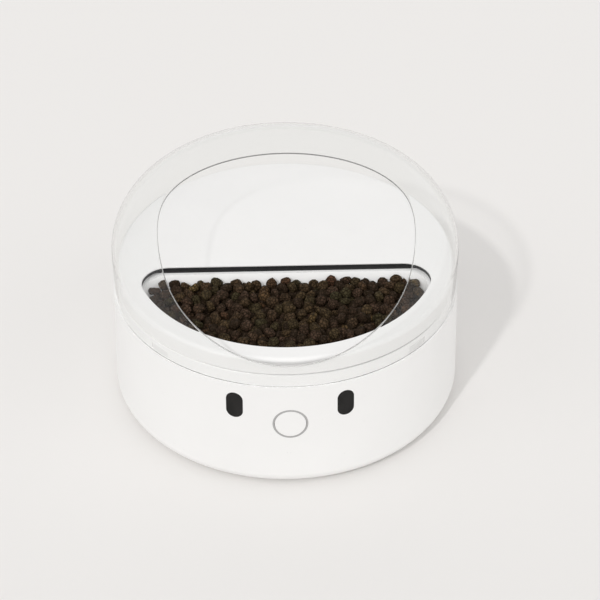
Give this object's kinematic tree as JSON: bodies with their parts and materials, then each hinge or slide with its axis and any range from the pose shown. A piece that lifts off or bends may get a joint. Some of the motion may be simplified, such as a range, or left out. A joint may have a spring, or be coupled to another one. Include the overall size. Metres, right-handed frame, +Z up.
{
  "type": "microchip pet feeder",
  "caption": "Round white pet feeder with a clear dome, an egg-shaped mouth, a half-moon food bowl and a shutter that swings over it.",
  "frame": {"origin": "on the floor under the upright middle axis, at the underside of the feet", "axes": "+Z up; the face with the button and the two windows looks to -Y; +X to the right of someone facing it"},
  "size_m": [0.28, 0.28, 0.1817],
  "materials": {
    "white_plastic": "satin",
    "grip_pad": "matte",
    "clear_plastic": "gloss",
    "dark_window": "gloss",
    "light_ring": "satin",
    "black_rubber": "matte",
    "grey_rubber": "matte",
    "kibble": "matte",
    "steel": "satin",
    "brass": "satin",
    "copper": "satin",
    "circuit_board": "satin",
    "black_component": "matte",
    "lamp": "gloss",
    "gear_plastic": "satin",
    "cell": "satin"
  },
  "bodies": {
    "base": {"base_shell": "white_plastic", "bottom_cover": "white_plastic", "rubber_feet": "grey_rubber", "cover_screws": "steel", "batteries": "cell", "battery_contacts": "steel", "battery_springs": "steel", "upper_housing": "white_plastic", "dome_grip_pads": "grip_pad", "aerial_coil": "copper", "left_sensor_window": "dark_window", "right_sensor_window": "dark_window", "button_light_ring": "light_ring", "front_board": "circuit_board", "button_switch": "black_component", "ring_lamps": "lamp", "left_sensor_board": "circuit_board", "right_sensor_board": "circuit_board", "left_proximity_sensor": "black_component", "right_proximity_sensor": "black_component", "board_screws": "steel", "main_board": "circuit_board", "board_parts": "black_component", "power_board": "circuit_board", "power_socket": "steel", "drive_bracket": "steel", "bracket_screws": "steel", "motor_screws": "steel", "gear_motor": "steel", "drive_bush": "gear_plastic", "position_switch": "black_component"},
    "battery_door": {"battery_door": "white_plastic"},
    "button": {"front_button": "white_plastic", "switch_plunger": "black_component"},
    "tray": {"tray_deck": "white_plastic", "opening_seal": "black_rubber", "bowl": "white_plastic", "kibble": "kibble", "pivot_washer": "steel", "pivot_screw": "steel"},
    "shutter": {"shutter": "white_plastic", "shutter_wiper": "black_rubber", "shutter_shaft": "gear_plastic", "hub_screws": "steel"},
    "drive_gear": {"drive_gear": "gear_plastic"},
    "pinion": {"motor_pinion": "brass", "motor_shaft": "steel"},
    "dome": {"dome": "clear_plastic"}
  },
  "joints": [
    {"name": "dome_lift", "type": "slide", "parent": "base", "child": "dome", "axis": [0, 0, 1], "range_m": [0, 0.06]},
    {"name": "tray_lift", "type": "slide", "parent": "base", "child": "tray", "axis": [0, 0, 1], "range_m": [0, 0.008]},
    {"name": "shutter_turn", "type": "hinge", "parent": "tray", "child": "shutter", "pos_m": [0, 0, 0.1149], "axis": [0, 0, 1], "range_deg": [0, 180]},
    {"name": "drive_gear_turn", "type": "hinge", "parent": "base", "child": "drive_gear", "pos_m": [0, 0, 0.086], "axis": [0, 0, 1], "range_deg": [-5, 185]},
    {"name": "pinion_turn", "type": "hinge", "parent": "base", "child": "pinion", "pos_m": [0, 0.0191, 0.086], "axis": [0, 0, 1], "range_deg": [-315, 5]},
    {"name": "button_press", "type": "slide", "parent": "base", "child": "button", "axis": [0, 1, 0], "range_m": [0, 0.0008], "stiffness_N_per_m": 1500, "springref_m": -0.0004},
    {"name": "battery_door_slide", "type": "slide", "parent": "base", "child": "battery_door", "axis": [0, 1, 0], "range_m": [0, 0.006]}
  ],
  "couplings": [
    {"joint": "drive_gear_turn", "follows": "shutter_turn", "ratio": 1},
    {"joint": "pinion_turn", "follows": "shutter_turn", "ratio": -1.7143}
  ]
}
